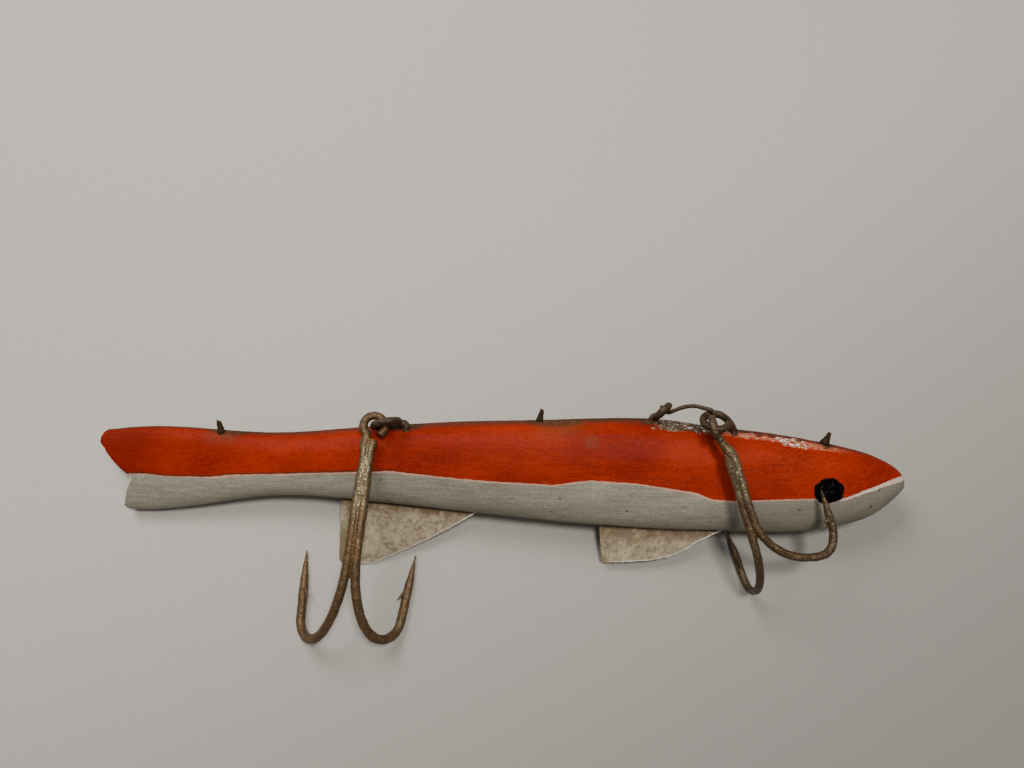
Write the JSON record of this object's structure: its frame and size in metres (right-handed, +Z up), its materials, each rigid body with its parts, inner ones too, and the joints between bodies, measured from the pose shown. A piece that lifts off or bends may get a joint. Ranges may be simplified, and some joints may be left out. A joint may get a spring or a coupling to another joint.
{
  "type": "fish decoy",
  "caption": "Carved and painted wooden fish decoy with sheet-metal belly fins and double hooks hung from screw eyes along the back, lying on one flank.",
  "frame": {"origin": "under the middle of the whole object's box, on the surface it lies on", "axes": "+X towards the nose, +Y towards the back of the fish, +Z up from the surface, out of the flank that shows"},
  "size_m": [0.1916, 0.055, 0.0265],
  "materials": {
    "painted_wood": "worn brushed enamel, orange red above and silver grey below",
    "fin_sheet": "dull galvanised sheet, rusty at the root",
    "rusty_nail": "dark rust",
    "rusty_wire": "brown rust",
    "rusty_hook": "brown rust with grey solder on the shank"
  },
  "bodies": {
    "root": {"body": "painted_wood", "rear_fin": "fin_sheet", "front_fin": "fin_sheet", "tail_nail": "rusty_nail", "back_nail": "rusty_nail", "head_nail": "rusty_nail", "rear_screw_eye": "rusty_wire", "line_screw_eye": "rusty_wire", "front_screw_eye": "rusty_wire", "line_tie": "rusty_wire", "rear_hook": "rusty_hook", "front_hook": "rusty_hook"}
  },
  "joints": []
}
